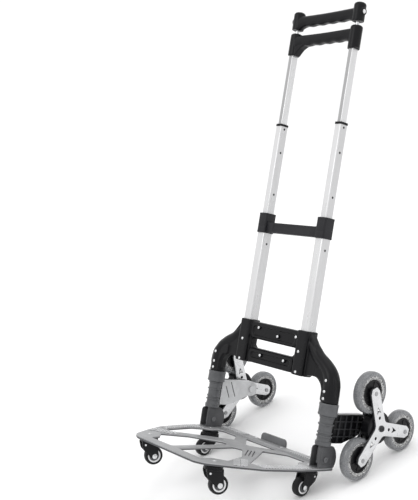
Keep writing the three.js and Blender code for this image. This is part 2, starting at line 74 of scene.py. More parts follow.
def joint_place(name):
    return Vector(joints[name]["pos_m"])


def tilt_of(axis):
    return math.atan2(axis[1], axis[2])


lean = tilt_of(joints["middle_stage_slide"]["axis"])
deck_tilt = tilt_of(joints["caster_front_left_swivel"]["axis"])
pin = joint_place("deck_fold")
to_pin = Matrix.Translation((0, 0, -PIN_HEIGHT))
SQUARE = Matrix.Translation(pin) @ Matrix.Rotation(-lean, 4, "X") @ MM @ to_pin
DECK = Matrix.Translation(pin) @ Matrix.Rotation(-deck_tilt, 4, "X") @ MM @ to_pin
SPIDER_TURN = math.radians(-30)


def spider_frame(hand):
    hub = joint_place(f"spider_{hand}_spin")
    return Matrix.Translation(hub) @ Matrix.Rotation(SPIDER_TURN, 4, "X") @ MM


def wheel_frame(hand, number):
    hub = joint_place(f"stair_wheel_{hand}_{number}_roll")
    return Matrix.Translation(hub) @ MM


def caster_frame(place):
    axis = Vector(joints[f"caster_{place}_roll"]["axis"])
    swivel = joint_place(f"caster_{place}_swivel")
    square_axis = DECK.to_3x3().normalized().inverted() @ axis
    heading = math.atan2(-square_axis.y, square_axis.x)
    foot = DECK.inverted() @ swivel
    return DECK @ Matrix.Translation((foot.x, foot.y, 0)) @ Matrix.Rotation(-heading, 4, "Z")


# ---- camera ----
CAMERA_PLACE = Vector((1347.9, -1339.0, 407.3))
CAMERA_AZIMUTH = math.radians(50.46)
CAMERA_DROP = math.radians(-1.45)
CAMERA_ROLL = math.radians(-9.27)
CAMERA_LENS = 63.5


def add_camera():
    turn = (Matrix.Rotation(CAMERA_AZIMUTH, 4, "Z") @ Matrix.Rotation(math.pi / 2 - CAMERA_DROP, 4, "X")
            @ Matrix.Rotation(-CAMERA_ROLL, 4, "Z"))
    data = bpy.data.cameras.new("camera")
    data.lens = CAMERA_LENS
    data.sensor_width = 36
    data.clip_end = 100
    camera = link("camera", data)
    place = SQUARE @ CAMERA_PLACE
    camera.matrix_world = Matrix.Translation(place) @ Matrix.Rotation(-lean, 4, "X") @ turn
    bpy.context.scene.camera = camera


# ---- materials ----
RAMP_SPAN = (0.3, 0.7)


class Shader:
    """A Principled material and short ways to wire procedural detail into it."""

    def __init__(self, name, color, roughness, metallic=0.0, **sockets):
        self.material = bpy.data.materials.new(name)
        self.material.use_nodes = True
        self.nodes = self.material.node_tree.nodes
        self.links = self.material.node_tree.links
        self.base = self.nodes["Principled BSDF"]
        self.color = color
        self.base.inputs["Base Color"].default_value = (*color, 1)
        self.base.inputs["Roughness"].default_value = roughness
        self.base.inputs["Metallic"].default_value = metallic
        for key, value in sockets.items():
            self.base.inputs[key.replace("_", " ")].default_value = value

    def add(self, kind, **values):
        node = self.nodes.new(kind)
        for key, value in values.items():
            if key in node.inputs:
                node.inputs[key].default_value = value
            else:
                setattr(node, key, value)
        return node

    def coordinates(self, stretch=(1, 1, 1), turn=0.0):
        place = self.add("ShaderNodeTexCoord")
        mapping = self.add("ShaderNodeMapping", vector_type="TEXTURE", Scale=stretch, Rotation=(turn, 0, 0))
        self.links.new(place.outputs["Object"], mapping.inputs["Vector"])
        return mapping.outputs["Vector"]

    def noise(self, scale, detail, stretch=(1, 1, 1), turn=0.0):
        node = self.add("ShaderNodeTexNoise", Scale=scale, Detail=detail)
        self.links.new(self.coordinates(stretch, turn), node.inputs["Vector"])
        return node.outputs["Fac"]

    def ramp(self, source, stops):
        node = self.add("ShaderNodeValToRGB")
        ramp = node.color_ramp
        for _ in range(len(stops) - 2):
            ramp.elements.new(0.5)
        for element, (place, color) in zip(ramp.elements, stops):
            element.position = place
            element.color = (*color, 1) if isinstance(color, tuple) else (color, color, color, 1)
        self.links.new(source, node.inputs["Fac"])
        return node.outputs["Color"]

    def vary_color(self, source, low, high):
        shades = [tuple(channel * factor for channel in self.color) for factor in (low, high)]
        stops = list(zip(RAMP_SPAN, shades))
        self.links.new(self.ramp(source, stops), self.base.inputs["Base Color"])

    def vary_roughness(self, source, low, high):
        stops = list(zip(RAMP_SPAN, (low, high)))
        self.links.new(self.ramp(source, stops), self.base.inputs["Roughness"])

    def bump(self, source, strength, distance):
        node = self.add("ShaderNodeBump", Strength=strength, Distance=distance)
        self.links.new(source, node.inputs["Height"])
        self.links.new(node.outputs["Normal"], self.base.inputs["Normal"])

    def mottle(self, tint, gloss, relief):
        """Uneven colour, gloss and relief, each from a noise of its own scale and detail.

        The other two numbers are factors of the colour, bounds of the roughness, and
        the strength and depth of the relief.
        """
        self.vary_color(self.noise(*tint[:2]), *tint[2:])
        self.vary_roughness(self.noise(*gloss[:2]), *gloss[2:])
        self.bump(self.noise(*relief[:2]), *relief[2:])
        return self.material


def anodised(name, tone):
    shader = Shader(name, (tone, tone, tone * 1.01), 0.34, 0.6)
    grain = shader.noise(900, 3, (1, 1, 40), -lean)
    shader.vary_color(grain, 0.93, 1.03)
    shader.vary_roughness(shader.noise(40, 3, (1, 1, 6), -lean), 0.24, 0.38)
    shader.bump(grain, 0.12, 0.0002)
    return shader.material


def cast_aluminium():
    shader = Shader("cast_aluminium", (0.34, 0.343, 0.35), 0.48, 0.45)
    return shader.mottle((30, 4, 0.9, 1.06), (1400, 5, 0.38, 0.55), (1400, 5, 0.35, 0.0004))


# The cast tread ribs of the deck in a light tone: painted highlight on their lit tops.
def painted_rib_highlight():
    shader = Shader("painted_rib_highlight", (0.74, 0.745, 0.755), 0.35, 0.5)
    return shader.mottle((90, 4, 0.85, 1.08), (900, 3, 0.3, 0.45), (1200, 3, 0.15, 0.0003))


def plated_steel():
    shader = Shader("plated_steel", (0.66, 0.665, 0.675), 0.24, 0.85)
    return shader.mottle((60, 5, 0.92, 1.02), (60, 5, 0.18, 0.32), (800, 3, 0.06, 0.0002))


def moulded(name, color, roughness):
    shader = Shader(name, color, roughness, Specular_IOR_Level=0.2)
    gloss = (1500, 4, roughness - 0.07, roughness + 0.09)
    return shader.mottle((45, 3, 0.88, 1.12), gloss, (1500, 4, 0.25, 0.0003))


def clear_tyre():
    shader = Shader("clear_tyre", (0.27, 0.276, 0.287), 0.13, Transmission_Weight=0.4, IOR=1.45)
    return shader.mottle((520, 4, 0.65, 1.35), (300, 3, 0.1, 0.2), (260, 2, 0.12, 0.0005))


def glitter():
    shader = Shader("glitter", (0.45, 0.455, 0.47), 0.25, 0.55)
    flakes = shader.add("ShaderNodeTexVoronoi", Scale=750.0)
    shader.links.new(shader.coordinates(), flakes.inputs["Vector"])
    tone = shader.ramp(flakes.outputs["Color"], [(0.25, 0.09), (0.5, 0.24), (0.78, 0.6)])
    shader.links.new(tone, shader.base.inputs["Base Color"])
    shader.bump(flakes.outputs["Distance"], 0.3, 0.0005)
    return shader.material


def rubber():
    shader = Shader("black_rubber", (0.008, 0.008, 0.009), 0.42, Specular_IOR_Level=0.2)
    return shader.mottle((80, 3, 0.85, 1.3), (700, 4, 0.42, 0.62), (700, 4, 0.15, 0.0003))


ANODISED = anodised("anodised_tube", 0.66)
# The next two are darker copies of the tube anodising, used as painted shade: the first on the sides of the
# two wider tubes, the second on the front of the thin tube.
ANODISED_PAINTED_SIDE_SHADE = anodised("anodised_painted_side_shade", 0.57)
ANODISED_PAINTED_FRONT_SHADE = anodised("anodised_painted_front_shade", 0.38)
CAST = cast_aluminium()
# The deck's tread ribs are painted much lighter than the cast deck they belong to: painted highlight on the
# rib tops.
RIB_PAINTED_HIGHLIGHT = painted_rib_highlight()
STEEL = plated_steel()
# Black plastic for the moulded parts; also painted shade, as the black of the arms' rib pockets and of the
# filler round the spider hubs.
BLACK_AND_PAINTED_SHADE = moulded("black_plastic", (0.0035, 0.0035, 0.0045), 0.34)
CHARCOAL = moulded("charcoal_plastic", (0.016, 0.016, 0.0185), 0.42)
GREY = moulded("grey_plastic", (0.1, 0.102, 0.107), 0.24)
# Dark grey for the arm lines and spider bolts; also painted shade on the arms' rib grids and on the rims
# behind the spider plates.
DARK_GREY_AND_PAINTED_SHADE = moulded("dark_grey", (0.035, 0.036, 0.039), 0.34)
LEG_METAL = moulded("leg_metal", (0.13, 0.132, 0.138), 0.32)
# Dark grey of the hinge lugs; also painted shade on the deck's under edge and on the beds between its tread
# ribs.
LUG_METAL_AND_PAINTED_SHADE = moulded("lug_metal_and_painted_shade", (0.078, 0.079, 0.083), 0.36)
LIGHT_GREY = moulded("light_grey", (0.56, 0.565, 0.575), 0.4)
TAB_METAL = moulded("tab_metal", (0.15, 0.152, 0.158), 0.34)
PIN_METAL = moulded("pin_metal", (0.13, 0.132, 0.138), 0.28)
WHITE_RIM = moulded("caster_rim", (0.72, 0.72, 0.73), 0.3)
TYRE = clear_tyre()
GLITTER = glitter()
RUBBER = rubber()


# ---- mesh helpers ----
MERGE_DISTANCE = 1e-4
FINE_MESH = 9000
BEVEL_ANGLE = math.radians(30)
AXIS_TURNS = {
    "X": Matrix.Rotation(math.pi / 2, 3, "Y"),
    "Y": Matrix.Rotation(-math.pi / 2, 3, "X"),
    "Z": Matrix.Identity(3),
}


def link(name, data):
    made = bpy.data.objects.new(name, data)
    bpy.context.scene.collection.objects.link(made)
    return made


def from_bmesh(name, bm):
    bmesh.ops.remove_doubles(bm, verts=bm.verts, dist=MERGE_DISTANCE)
    bmesh.ops.recalc_face_normals(bm, faces=bm.faces)
    mesh = bpy.data.meshes.new(name)
    bm.to_mesh(mesh)
    bm.free()
    return link(name, mesh)


def apply_modifiers(piece):
    graph = bpy.context.evaluated_depsgraph_get()
    mesh = bpy.data.meshes.new_from_object(piece.evaluated_get(graph))
    piece.modifiers.clear()
    old = piece.data
    piece.data = mesh
    bpy.data.meshes.remove(old)
    return piece


def modify(piece, kind, **settings):
    modifier = piece.modifiers.new(kind, kind)
    for key, value in settings.items():
        setattr(modifier, key, value)
    return apply_modifiers(piece)


def join(name, pieces):
    bm = bmesh.new()
    for piece in pieces:
        bm.from_mesh(piece.data)
        bpy.data.objects.remove(piece)
    mesh = bpy.data.meshes.new(name)
    bm.to_mesh(mesh)
    bm.free()
    return link(name, mesh)


def boolean(piece, tool, operation="DIFFERENCE"):
    """Cuts or clips a piece. Overlapping shells are sorted out only in a coarse mesh."""
    coarse = len(piece.data.polygons) < FINE_MESH
    modify(piece, "BOOLEAN", object=tool, operation=operation, solver="EXACT", use_self=coarse)
    bpy.data.objects.remove(tool)
    return piece


def cut(piece, *tools):
    for tool in tools:
        boolean(piece, tool)
    return piece


def remeshed(piece, voxel, smooth):
    """The union of a piece's overlapping shells with softened inner corners."""
    modify(piece, "REMESH", mode="VOXEL", voxel_size=voxel)
    return modify(piece, "SMOOTH", iterations=smooth, factor=0.5)


def block(x, y, z, rounding=0.0, segments=3):
    bm = bmesh.new()
    bmesh.ops.create_cube(bm, size=1)
    low = Vector((min(x), min(y), min(z)))
    high = Vector((max(x), max(y), max(z)))
    for vertex in bm.verts:
        vertex.co = Vector(low[i] + (vertex.co[i] + 0.5) * (high[i] - low[i]) for i in range(3))
    piece = from_bmesh("block", bm)
    if rounding:
        modify(piece, "BEVEL", width=rounding, segments=segments, limit_method="ANGLE",
               angle_limit=BEVEL_ANGLE)
    return piece


def turned(profile, axis="Z", centre=(0, 0, 0), segments=64):
    """A profile of (radius, distance along the axis) turned into a closed body."""
    bm = bmesh.new()
    rings = []
    for radius, height in profile:
        if radius == 0:
            rings.append([bm.verts.new((0, 0, height))])
            continue
        turn = 2 * math.pi / segments
        rings.append([bm.verts.new((radius * math.cos(turn * i), radius * math.sin(turn * i), height))
                      for i in range(segments)])
    pairs = list(zip(rings, rings[1:]))
    if len(rings[0]) > 1:
        pairs.append((rings[-1], rings[0]))
    for first, second in pairs:
        for i in range(segments):
            corners = [first[i % len(first)], first[(i + 1) % len(first)],
                       second[(i + 1) % len(second)], second[i % len(second)]]
            unique = list(dict.fromkeys(corners))
            if len(unique) > 2:
                bm.faces.new(unique)
    bmesh.ops.rotate(bm, verts=bm.verts, matrix=AXIS_TURNS[axis])
    bmesh.ops.translate(bm, verts=bm.verts, vec=centre)
    return from_bmesh("turned", bm)


def rod(radius, start, end, axis="Z", at=(0, 0), edge=0.4, segments=48):
    low, high = min(start, end), max(start, end)
    profile = [(0, low), (radius - edge, low), (radius, low + edge), (radius, high - edge),
               (radius - edge, high), (0, high)]
    centre = {"X": (0, *at), "Y": (at[0], 0, at[1]), "Z": (*at, 0)}[axis]
    return turned(profile, axis, centre, segments)


def rounded(points, radius, steps=4):
    """A closed outline with its corners rounded."""
    outline = []
    for i, corner in enumerate(points):
        here = Vector(corner)
        before = Vector(points[i - 1]) - here
        after = Vector(points[(i + 1) % len(points)]) - here
        reach = min(radius, before.length * 0.45, after.length * 0.45)
        start, end = here + before.normalized() * reach, here + after.normalized() * reach
        for k in range(steps + 1):
            t = k / steps
            outline.append(start * (1 - t) ** 2 + here * 2 * t * (1 - t) + end * t ** 2)
    return [tuple(point) for point in outline]


PLANES = {
    "Z": Matrix.Identity(4),
    "Y": Matrix(((1, 0, 0, 0), (0, 0, -1, 0), (0, 1, 0, 0), (0, 0, 0, 1))),
    "X": Matrix(((0, 0, 1, 0), (1, 0, 0, 0), (0, 1, 0, 0), (0, 0, 0, 1))),
}


def plate(outline, low, high, axis="Z", holes=(), edge=0.8, inset=0.0):
    """An outline with holes given thickness along an axis, its rims rounded by edge.

    Outlines for axis Y are drawn in X-Z, and for axis X in Y-Z. The inset draws
    every rim back into the material.
    """
    low, high = min(low, high), max(low, high)
    curve = bpy.data.curves.new("plate", "CURVE")
    curve.dimensions = "2D"
    curve.fill_mode = "BOTH"
    curve.bevel_depth = edge
    curve.bevel_resolution = 2
    curve.extrude = (high - low) / 2 - edge
    curve.offset = -edge - inset
    for points in (outline, *holes):
        spline = curve.splines.new("POLY")
        spline.points.add(len(points) - 1)
        for point, (a, b) in zip(spline.points, points):
            point.co = (a, b, 0, 1)
        spline.use_cyclic_u = True
    holder = link("plate", curve)
    graph = bpy.context.evaluated_depsgraph_get()
    mesh = bpy.data.meshes.new_from_object(holder.evaluated_get(graph))
    bpy.data.objects.remove(holder)
    bpy.data.curves.remove(curve)
    middle = (low + high) / 2
    shift = {"Z": (0, 0, middle), "Y": (0, middle, 0), "X": (middle, 0, 0)}[axis]
    mesh.transform(Matrix.Translation(shift) @ PLANES[axis])
    bm = bmesh.new()
    bm.from_mesh(mesh)
    bpy.data.meshes.remove(mesh)
    return from_bmesh("plate", bm)


def lofted(bm, rings):
    """A row of equal rings of vertices closed into a body with flat ends."""
    count = len(rings[0])
    for first, second in zip(rings, rings[1:]):
        for k in range(count):
            bm.faces.new((first[k], first[(k + 1) % count], second[(k + 1) % count], second[k]))
    bm.faces.new(rings[0])
    bm.faces.new(rings[-1])
    return from_bmesh("lofted", bm)


def swept(path, sections):
    """A round bar along (point, radius) pairs, with flat ends."""
    bm = bmesh.new()
    rings = []
    for i, (point, radius) in enumerate(path):
        before = Vector(path[max(i - 1, 0)][0])
        after = Vector(path[min(i + 1, len(path) - 1)][0])
        ahead = (after - before).normalized()
        side = Vector((0, 1, 0))
        other = ahead.cross(side).normalized()
        turn = 2 * math.pi / sections
        rings.append([bm.verts.new(Vector(point) + side * radius * math.cos(turn * k)
                                   + other * radius * math.sin(turn * k)) for k in range(sections)])
    return lofted(bm, rings)


def spline_points(points, count):
    """Points on a smooth curve through the given ones."""
    last = len(points) - 1
    result = []
    for i in range(count + 1):
        t = i / count * last
        k = min(int(t), last - 1)
        f = t - k
        p = [Vector(points[min(max(k + n, 0), last)]) for n in (-1, 0, 1, 2)]
        result.append(0.5 * (2 * p[1] + (p[2] - p[0]) * f + (2 * p[0] - 5 * p[1] + 4 * p[2] - p[3]) * f ** 2
                             + (3 * p[1] - p[0] - 3 * p[2] + p[3]) * f ** 3))
    return result


def mirrored(points):
    """A half outline and its mirror image across the middle of the trolley."""
    return [*points, *((-x, h) for x, h in reversed(points))]


def symmetric(right):
    """A closed outline from its corners on the right, starting with the first one on the left."""
    left = [(-x, h) for x, h in right]
    return [left[0], *right, *reversed(left[1:])]


def both_ways(profile, *middle):
    """Half a wheel's profile, its middle points and the mirror image of that half."""
    return [*profile, *middle, *((radius, -height) for radius, height in reversed(profile))]


def rectangle(left, right, low, high):
    return [(left, low), (right, low), (right, high), (left, high)]


def box_at(x, width, depth, radius):
    """A rounded rectangle across the mast, centred on x."""
    corners = rectangle(-width / 2, width / 2, -depth / 2, depth / 2)
    return [(x + a, MAST_Y + b) for a, b in rounded(corners, radius, 6)]


def circle(a, b, radius, count=32):
    turn = 2 * math.pi / count
    return [(a + radius * math.cos(turn * i), b + radius * math.sin(turn * i)) for i in range(count)]


def skin(node, piece, matrix, body, material, sharp=38):
    """Finishes the piece that stands in for one CAD node."""
    finish(f"{node}_skin", piece, matrix, body, material, [node], sharp)


def finish(name, piece, matrix, body, material, replaces=(), sharp=38):
    """Names, places, shades and finishes a piece, and lets it ride on its body."""
    piece.name = name
    piece.data.name = name
    piece.data.transform(matrix)
    piece.data.shade_smooth()
    piece.data.set_sharp_from_angle(angle=math.radians(sharp))
    piece.data.materials.clear()
    piece.data.materials.append(material)
    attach(piece, body)
    if replaces:
        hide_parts(*replaces)


def dome(radius, height, steps=5):
    """Profile of a low round head standing on its axis at zero."""
    profile = [(0, 0), (radius, 0)]
    for i in range(1, steps):
        angle = math.pi / 2 * i / steps
        profile.append((radius * math.cos(angle), height * math.sin(angle)))
    return profile + [(0, height)]


def heads(places, radius, height, facing=-1, axis="Y"):
    """Rivet heads at (x, y, z) places that look along plus or minus the axis."""
    profile = [(r, h * facing) for r, h in dome(radius, height)]
    return join("heads", [turned(profile, axis, place, 20) for place in places])


# ---- mast ----
BAND_PROUD = 0.12
TUBES = {
    "outer_tube": (21.4, 25.2, 242, 528, "frame"),
    "middle_tube": (16.6, 21.2, 440, 756, "mast_middle"),
    "inner_tube": (12.6, 17.2, 700, 945, "mast_inner"),
}
LOCK_DOTS = {
    "stage_two_lock_dots": ("middle_tube", (748, 695, 601)),
    "stage_one_lock_dot": ("outer_tube", (490,)),
}
DOT_RADIUS = 2.7
DOT_HEIGHT = 0.35
TUBE_WALL = 1.4


def tube(side, width, depth, bottom, top):
    outline = box_at(side * MAST_X, width, depth, 2.6)
    hollow = box_at(side * MAST_X, width - 2 * TUBE_WALL, depth - 2 * TUBE_WALL, 1.4)
    return plate(outline, bottom, top, "Z", [hollow], edge=0.25)


def make_mast():
    for hand, side in SIDES.items():
        for name, (width, depth, bottom, top, body) in TUBES.items():
            skin(f"{name}_{hand}", tube(side, width, depth, bottom, top), SQUARE, body, ANODISED)
            painted_shade_band(name, hand, side)
        x = side * MAST_X
        for name, (tube_name, heights) in LOCK_DOTS.items():
            width, *_, body = TUBES[tube_name]
            places = [(x + width / 2, MAST_Y, height) for height in heights]
            dots = heads(places, DOT_RADIUS, DOT_HEIGHT, 1, "X")
            finish(f"{name}_{hand}", dots, SQUARE, body, BLACK_AND_PAINTED_SHADE)
        make_bush(hand, side)
        skin(f"pull_rod_{hand}", rod(4, 905, 987, "Z", (x, MAST_Y)), SQUARE, "top_grip", STEEL)


def painted_shade_band(name, hand, side):
    """A darker band down the front of the thin tube, or down the sides of a wider one: painted shade on the
    tube faces turned away from the light.
    """
    width, depth, bottom, top, body = TUBES[name]
    x, half_width, half_depth = side * MAST_X, width / 2 - 2.4, depth / 2 - 2.4
    heights = (bottom + 0.5, top - 0.5)
    if name == "inner_tube":
        front = MAST_Y - depth / 2
        bands = [block((x - half_width, x + half_width), (front - BAND_PROUD, front + 0.1), heights)]
    else:
        depths = (MAST_Y - half_depth, MAST_Y + half_depth)
        faces = [(x + facing * width / 2, facing) for facing in (-1, 1)]
        bands = [block((face - facing * 0.1, face + facing * BAND_PROUD), depths, heights)
                 for face, facing in faces]
    material = ANODISED_PAINTED_FRONT_SHADE if name == "inner_tube" else ANODISED_PAINTED_SIDE_SHADE
    finish(f"{name}_band_{hand}", join("band", bands), SQUARE, body, material)


def make_bush(hand, side):
    outline = box_at(side * MAST_X, 18.6, 23.2, 3.4)
    hole = box_at(side * MAST_X, 13, 17.6, 2)
    lip = plate(outline, 756.2, 759, "Z", [hole], edge=0.7)
    outer = box_at(side * MAST_X, 18.4, 23, 3.2)
    inner = box_at(side * MAST_X, 16.9, 21.5, 2.7)
    skirt = plate(outer, 754, 756.6, "Z", [inner], edge=0.25)
    skin(f"tube_bush_{hand}", join("bush", [lip, skirt]), SQUARE, "mast_middle", BLACK_AND_PAINTED_SHADE)


def make_crossbar():
    shells = []
    for side in SIDES.values():
        outline = box_at(side * MAST_X, 24.6, 30.4, 5)
        hollow = box_at(side * MAST_X, 21.9, 25.7, 2.8)
        shells.append(plate(outline, 514, 529, "Z", [hollow], edge=0.9))
        mouth = box_at(side * MAST_X, 17.4, 22, 2.8)
        shells.append(plate(outline, 528, 558, "Z", [mouth], edge=1.2))
    reach = MAST_X - 11
    face = [(-reach, 514.8), (-70, 515.6), (70, 515.6), (reach, 514.8), (reach, 542), (70, 538),
            (-70, 538), (-reach, 542)]
    bar = plate(rounded(face, 6), MAST_Y - 9, MAST_Y + 9, "Y", edge=1.8)
    panel = rounded(rectangle(-56, 56, 519.5, 534), 3)
    cut(bar, plate(panel, MAST_Y - 9.6, MAST_Y - 8.4, "Y", edge=0.3))
    collars = []
    for side in SIDES.values():
        x = side * MAST_X
        rib = box_at(x, 25.2, 31, 5.2)
        opening = box_at(x, 23.8, 29.6, 4.8)
        for height in (515.2, 554):
            collars.append(plate(rib, height, height + 2.4, "Z", [opening], edge=0.5))
    skin("mid_crossbar", join("crossbar", [*shells, bar, *collars]), SQUARE, "frame", CHARCOAL)


# ---- handles ----
GRIP_DEPTH = 10.8
WAVE_HEIGHT = 1.6
WAVE_REACH = 58
ROOT_LENGTH = 22
ROOT_DROP = 7
SQUARENESS = 0.72
UNDERSIDE_SLANT = 0.3


def grip(low, high):
    """A grip bar of rounded section with finger waves along its underside."""
    bm = bmesh.new()
    reach = MAST_X - 3
    count = 96
    around = 28
    rings = []
    for i in range(count + 1):
        x = -reach + 2 * reach * i / count
        swell = max(0.0, 1 - max(0.0, abs(x) - WAVE_REACH) / ROOT_LENGTH)
        wave = WAVE_HEIGHT * 0.5 * (1 - math.cos(x / WAVE_REACH * 4 * math.pi)) * (abs(x) < WAVE_REACH)
        bottom = low - wave + WAVE_HEIGHT
        root = 1 - swell
        bottom -= root * root * ROOT_DROP
        top = high - 1.5 * math.cos(x / reach * math.pi / 2) - 0.2
        middle, half = (top + bottom) / 2, (top - bottom) / 2
        ring = []
        for k in range(around):
            angle = 2 * math.pi * k / around
            c, s = math.cos(angle), math.sin(angle)
            y = GRIP_DEPTH * math.copysign(abs(c) ** SQUARENESS, c)
            z = middle + half * math.copysign(abs(s) ** SQUARENESS, s)
            ring.append(bm.verts.new((x, MAST_Y + y, z)))
        rings.append(ring)
    return lofted(bm, rings)


def hub(side, bottom, top, crown):
    """A round hub with a domed top."""
    profile = [(0, bottom), (HUB_RADIUS - 0.8, bottom), (HUB_RADIUS, bottom + 0.8)]
    steps = 8
    for i in range(steps + 1):
        angle = math.pi / 2 * i / steps
        radius = HUB_RADIUS - crown + crown * math.cos(angle)
        profile.append((radius, top - crown + crown * math.sin(angle)))
    profile.append((0, top))
    return turned(profile, "Z", (side * MAST_X, MAST_Y, 0), 56)


def gusset():
    """The curved root of the lower grip on its left hub."""
    curve = [(-76, 914.5), (-72, 920), (-64, 928), (-54, 933.5), (-44, 935.5)]
    return plate([(-44, 942), (-84, 946), (-84, 914.5), *curve], MAST_Y - 9, MAST_Y + 9, "Y", edge=2)


def make_lower_handle():
    shells = [grip(933, 959.5), gusset()]
    for side in SIDES.values():
        shells.append(hub(side, 914, 964, 4.5))
    body = remeshed(join("lower", shells), 0.9, 5)
    tools = []
    for side in SIDES.values():
        x = side * MAST_X
        tools.append(block((x - 6.8, x + 6.8), (MAST_Y - 9.1, MAST_Y + 9.1), (900, 945.5)))
        tools.append(rod(4.6, 940, 970, "Z", (x, MAST_Y)))
        slant = block((x - 20, x + 20), (MAST_Y - 20, MAST_Y + 20), (880, 912.5))
        middle = Matrix.Translation((x, MAST_Y, 914))
        slant.data.transform(middle @ Matrix.Rotation(-side * UNDERSIDE_SLANT, 4, "Y") @ middle.inverted())
        tools.append(slant)
    cut(body, *tools)
    skin("lower_handle", body, SQUARE, "mast_inner", BLACK_AND_PAINTED_SHADE, 50)
    for hand, side in SIDES.items():
        x = side * MAST_X
        outline = box_at(x, 17.6, 20.6, 4)
        hollow = box_at(x, 13.4, 18, 2.6)
        skirt = plate(outline, 914.6, 924, "Z", [hollow], edge=0.5)
        finish(f"lower_handle_skirt_{hand}", skirt, SQUARE, "mast_inner", CHARCOAL)


def make_upper_handle():
    shells = [grip(977, 1003)]
    for side in SIDES.values():
        shells.append(hub(side, 973, 1013, 6.5))
        shells.append(rod(8, side * (MAST_X + 4), side * 102.4, "X", (MAST_Y, BUTTON_HEIGHT), 0.9))
    body = remeshed(join("upper", shells), 0.9, 4)
    tools = []
    for side in SIDES.values():
        tools.append(rod(4.5, 960, 987.5, "Z", (side * MAST_X, MAST_Y)))
        tools.append(rod(5.1, side * 92.5, side * 112, "X", (MAST_Y, BUTTON_HEIGHT)))
    cut(body, *tools)
    skin("upper_handle", body, SQUARE, "top_grip", BLACK_AND_PAINTED_SHADE, 50)
    for hand, side in SIDES.items():
        start, end = side * 96.5, side * 103.2
        profile = [(0, start), (4.5, start), (4.5, end - side * 1.6), (4, end - side * 0.5),
                   (3.2, end - side * 0.05), (1.8, end + side * 0.05), (0, end + side * 0.1)]
        button = turned(profile, "X", (0, MAST_Y, BUTTON_HEIGHT), 40)
        skin(f"release_button_{hand}", button, SQUARE, f"button_{hand}", WHITE_RIM)


# ---- yoke ----
SHOULDER = [(103, 318), (113, 306), (136, 279), (163, 262), (184, 242), (190, 224), (191, 206)]
SPINE = [(99, 300), (112, 289), (129, 273), (149, 260), (165, 245), (172.5, 226), (LEG_X, 200)]
ARCH = [(155.5, 205), (153.5, 218), (143.5, 230), (132, 234.5), (112, 233.5)]
YOKE_SCREWS = [(-48, 307), (13, 297), (72, 305), (85, 277), (-88, 277), (-88, 233), (-31, 249), (41, 250),
               (86, 235)]
LEG_SCREWS = (234, 212, 198)
LEG_SCREW_X = 171
LEG_SCREW_Y = -18.2
SOCKET_X = 88
SOCKET_EDGE = 70
SOCKET_DEPTH = 17.4
RAISED = 11.8
RIVET_RADIUS = 3.1
RIVET_HEIGHT = 1.1


def web_outline():
    arch = [tuple(point) for point in spline_points(ARCH, 12)]
    ridge = [tuple(point) for point in spline_points(SHOULDER, 24)]
    return mirrored([(66.7, 312), (72.7, 321), (103.2, 321), *ridge, (155.5, 200), *arch, (107, 228.5),
                     (66, 228.5), (60, 236.5)])


def yoke_solid():
    slot = rounded(symmetric([(60, 262), (68, 270), (68, 279), (65.5, 281.5)]), 3)
    shells = [plate(web_outline(), MAST_Y - 8.5, MAST_Y + 8.5, "Y", [slot], edge=1.2)]
    rim = rounded(symmetric([(66, 284), (72, 290), (72, 317), (66, 318)]), 4)
    rim_hole = rounded(symmetric([(60, 289), (64, 294), (64, 307), (60, 309)]), 4)
    belt = rounded(symmetric([(66, 230), (70, 244), (66, 259.5)]), 4)
    belt_hole = rounded(symmetric([(58, 241), (61, 247), (58, 253)]), 3)
    for outline, hole in ((rim, rim_hole), (belt, belt_hole)):
        shells.append(plate(outline, MAST_Y - RAISED, MAST_Y + RAISED, "Y", [hole], edge=1.4))
    for side in SIDES.values():
        x = side * SOCKET_X
        outline = box_at(x, 30.6, 34, 6)
        shells.append(plate(outline, 228.6, 321, "Z", edge=1.8))
        for height in (244, 262, 296):
            band = box_at(x, 30.9, 34.9, 6)
            shells.append(plate(band, height, height + 3, "Z", edge=1))
        spine = spline_points([(side * a, 0, b) for a, b in SPINE], 40)
        radii = [11.5 + 6.2 * min(1, i / 34) for i in range(len(spine))]
        shells.append(swept(list(zip(spine, radii)), 32))
        shells.append(rod(YOKE_LEG_RADIUS - 0.2, 190, 214, "Z", (side * LEG_X, 0), 1.2))
        shells.append(rod(YOKE_LEG_RADIUS + 0.1, 190, 194, "Z", (side * LEG_X, 0), 1))
        inner = [(side * a, b) for a, b in ((134, 236), (150, 232), (158, 214), (158, 192), (166, 192),
                                            (168, 240), (146, 254), (134, 256))]
        shells.append(plate(rounded(inner, 4), MAST_Y - 12.5, MAST_Y + 12.5, "Y", edge=2))
    return join("yoke", shells)


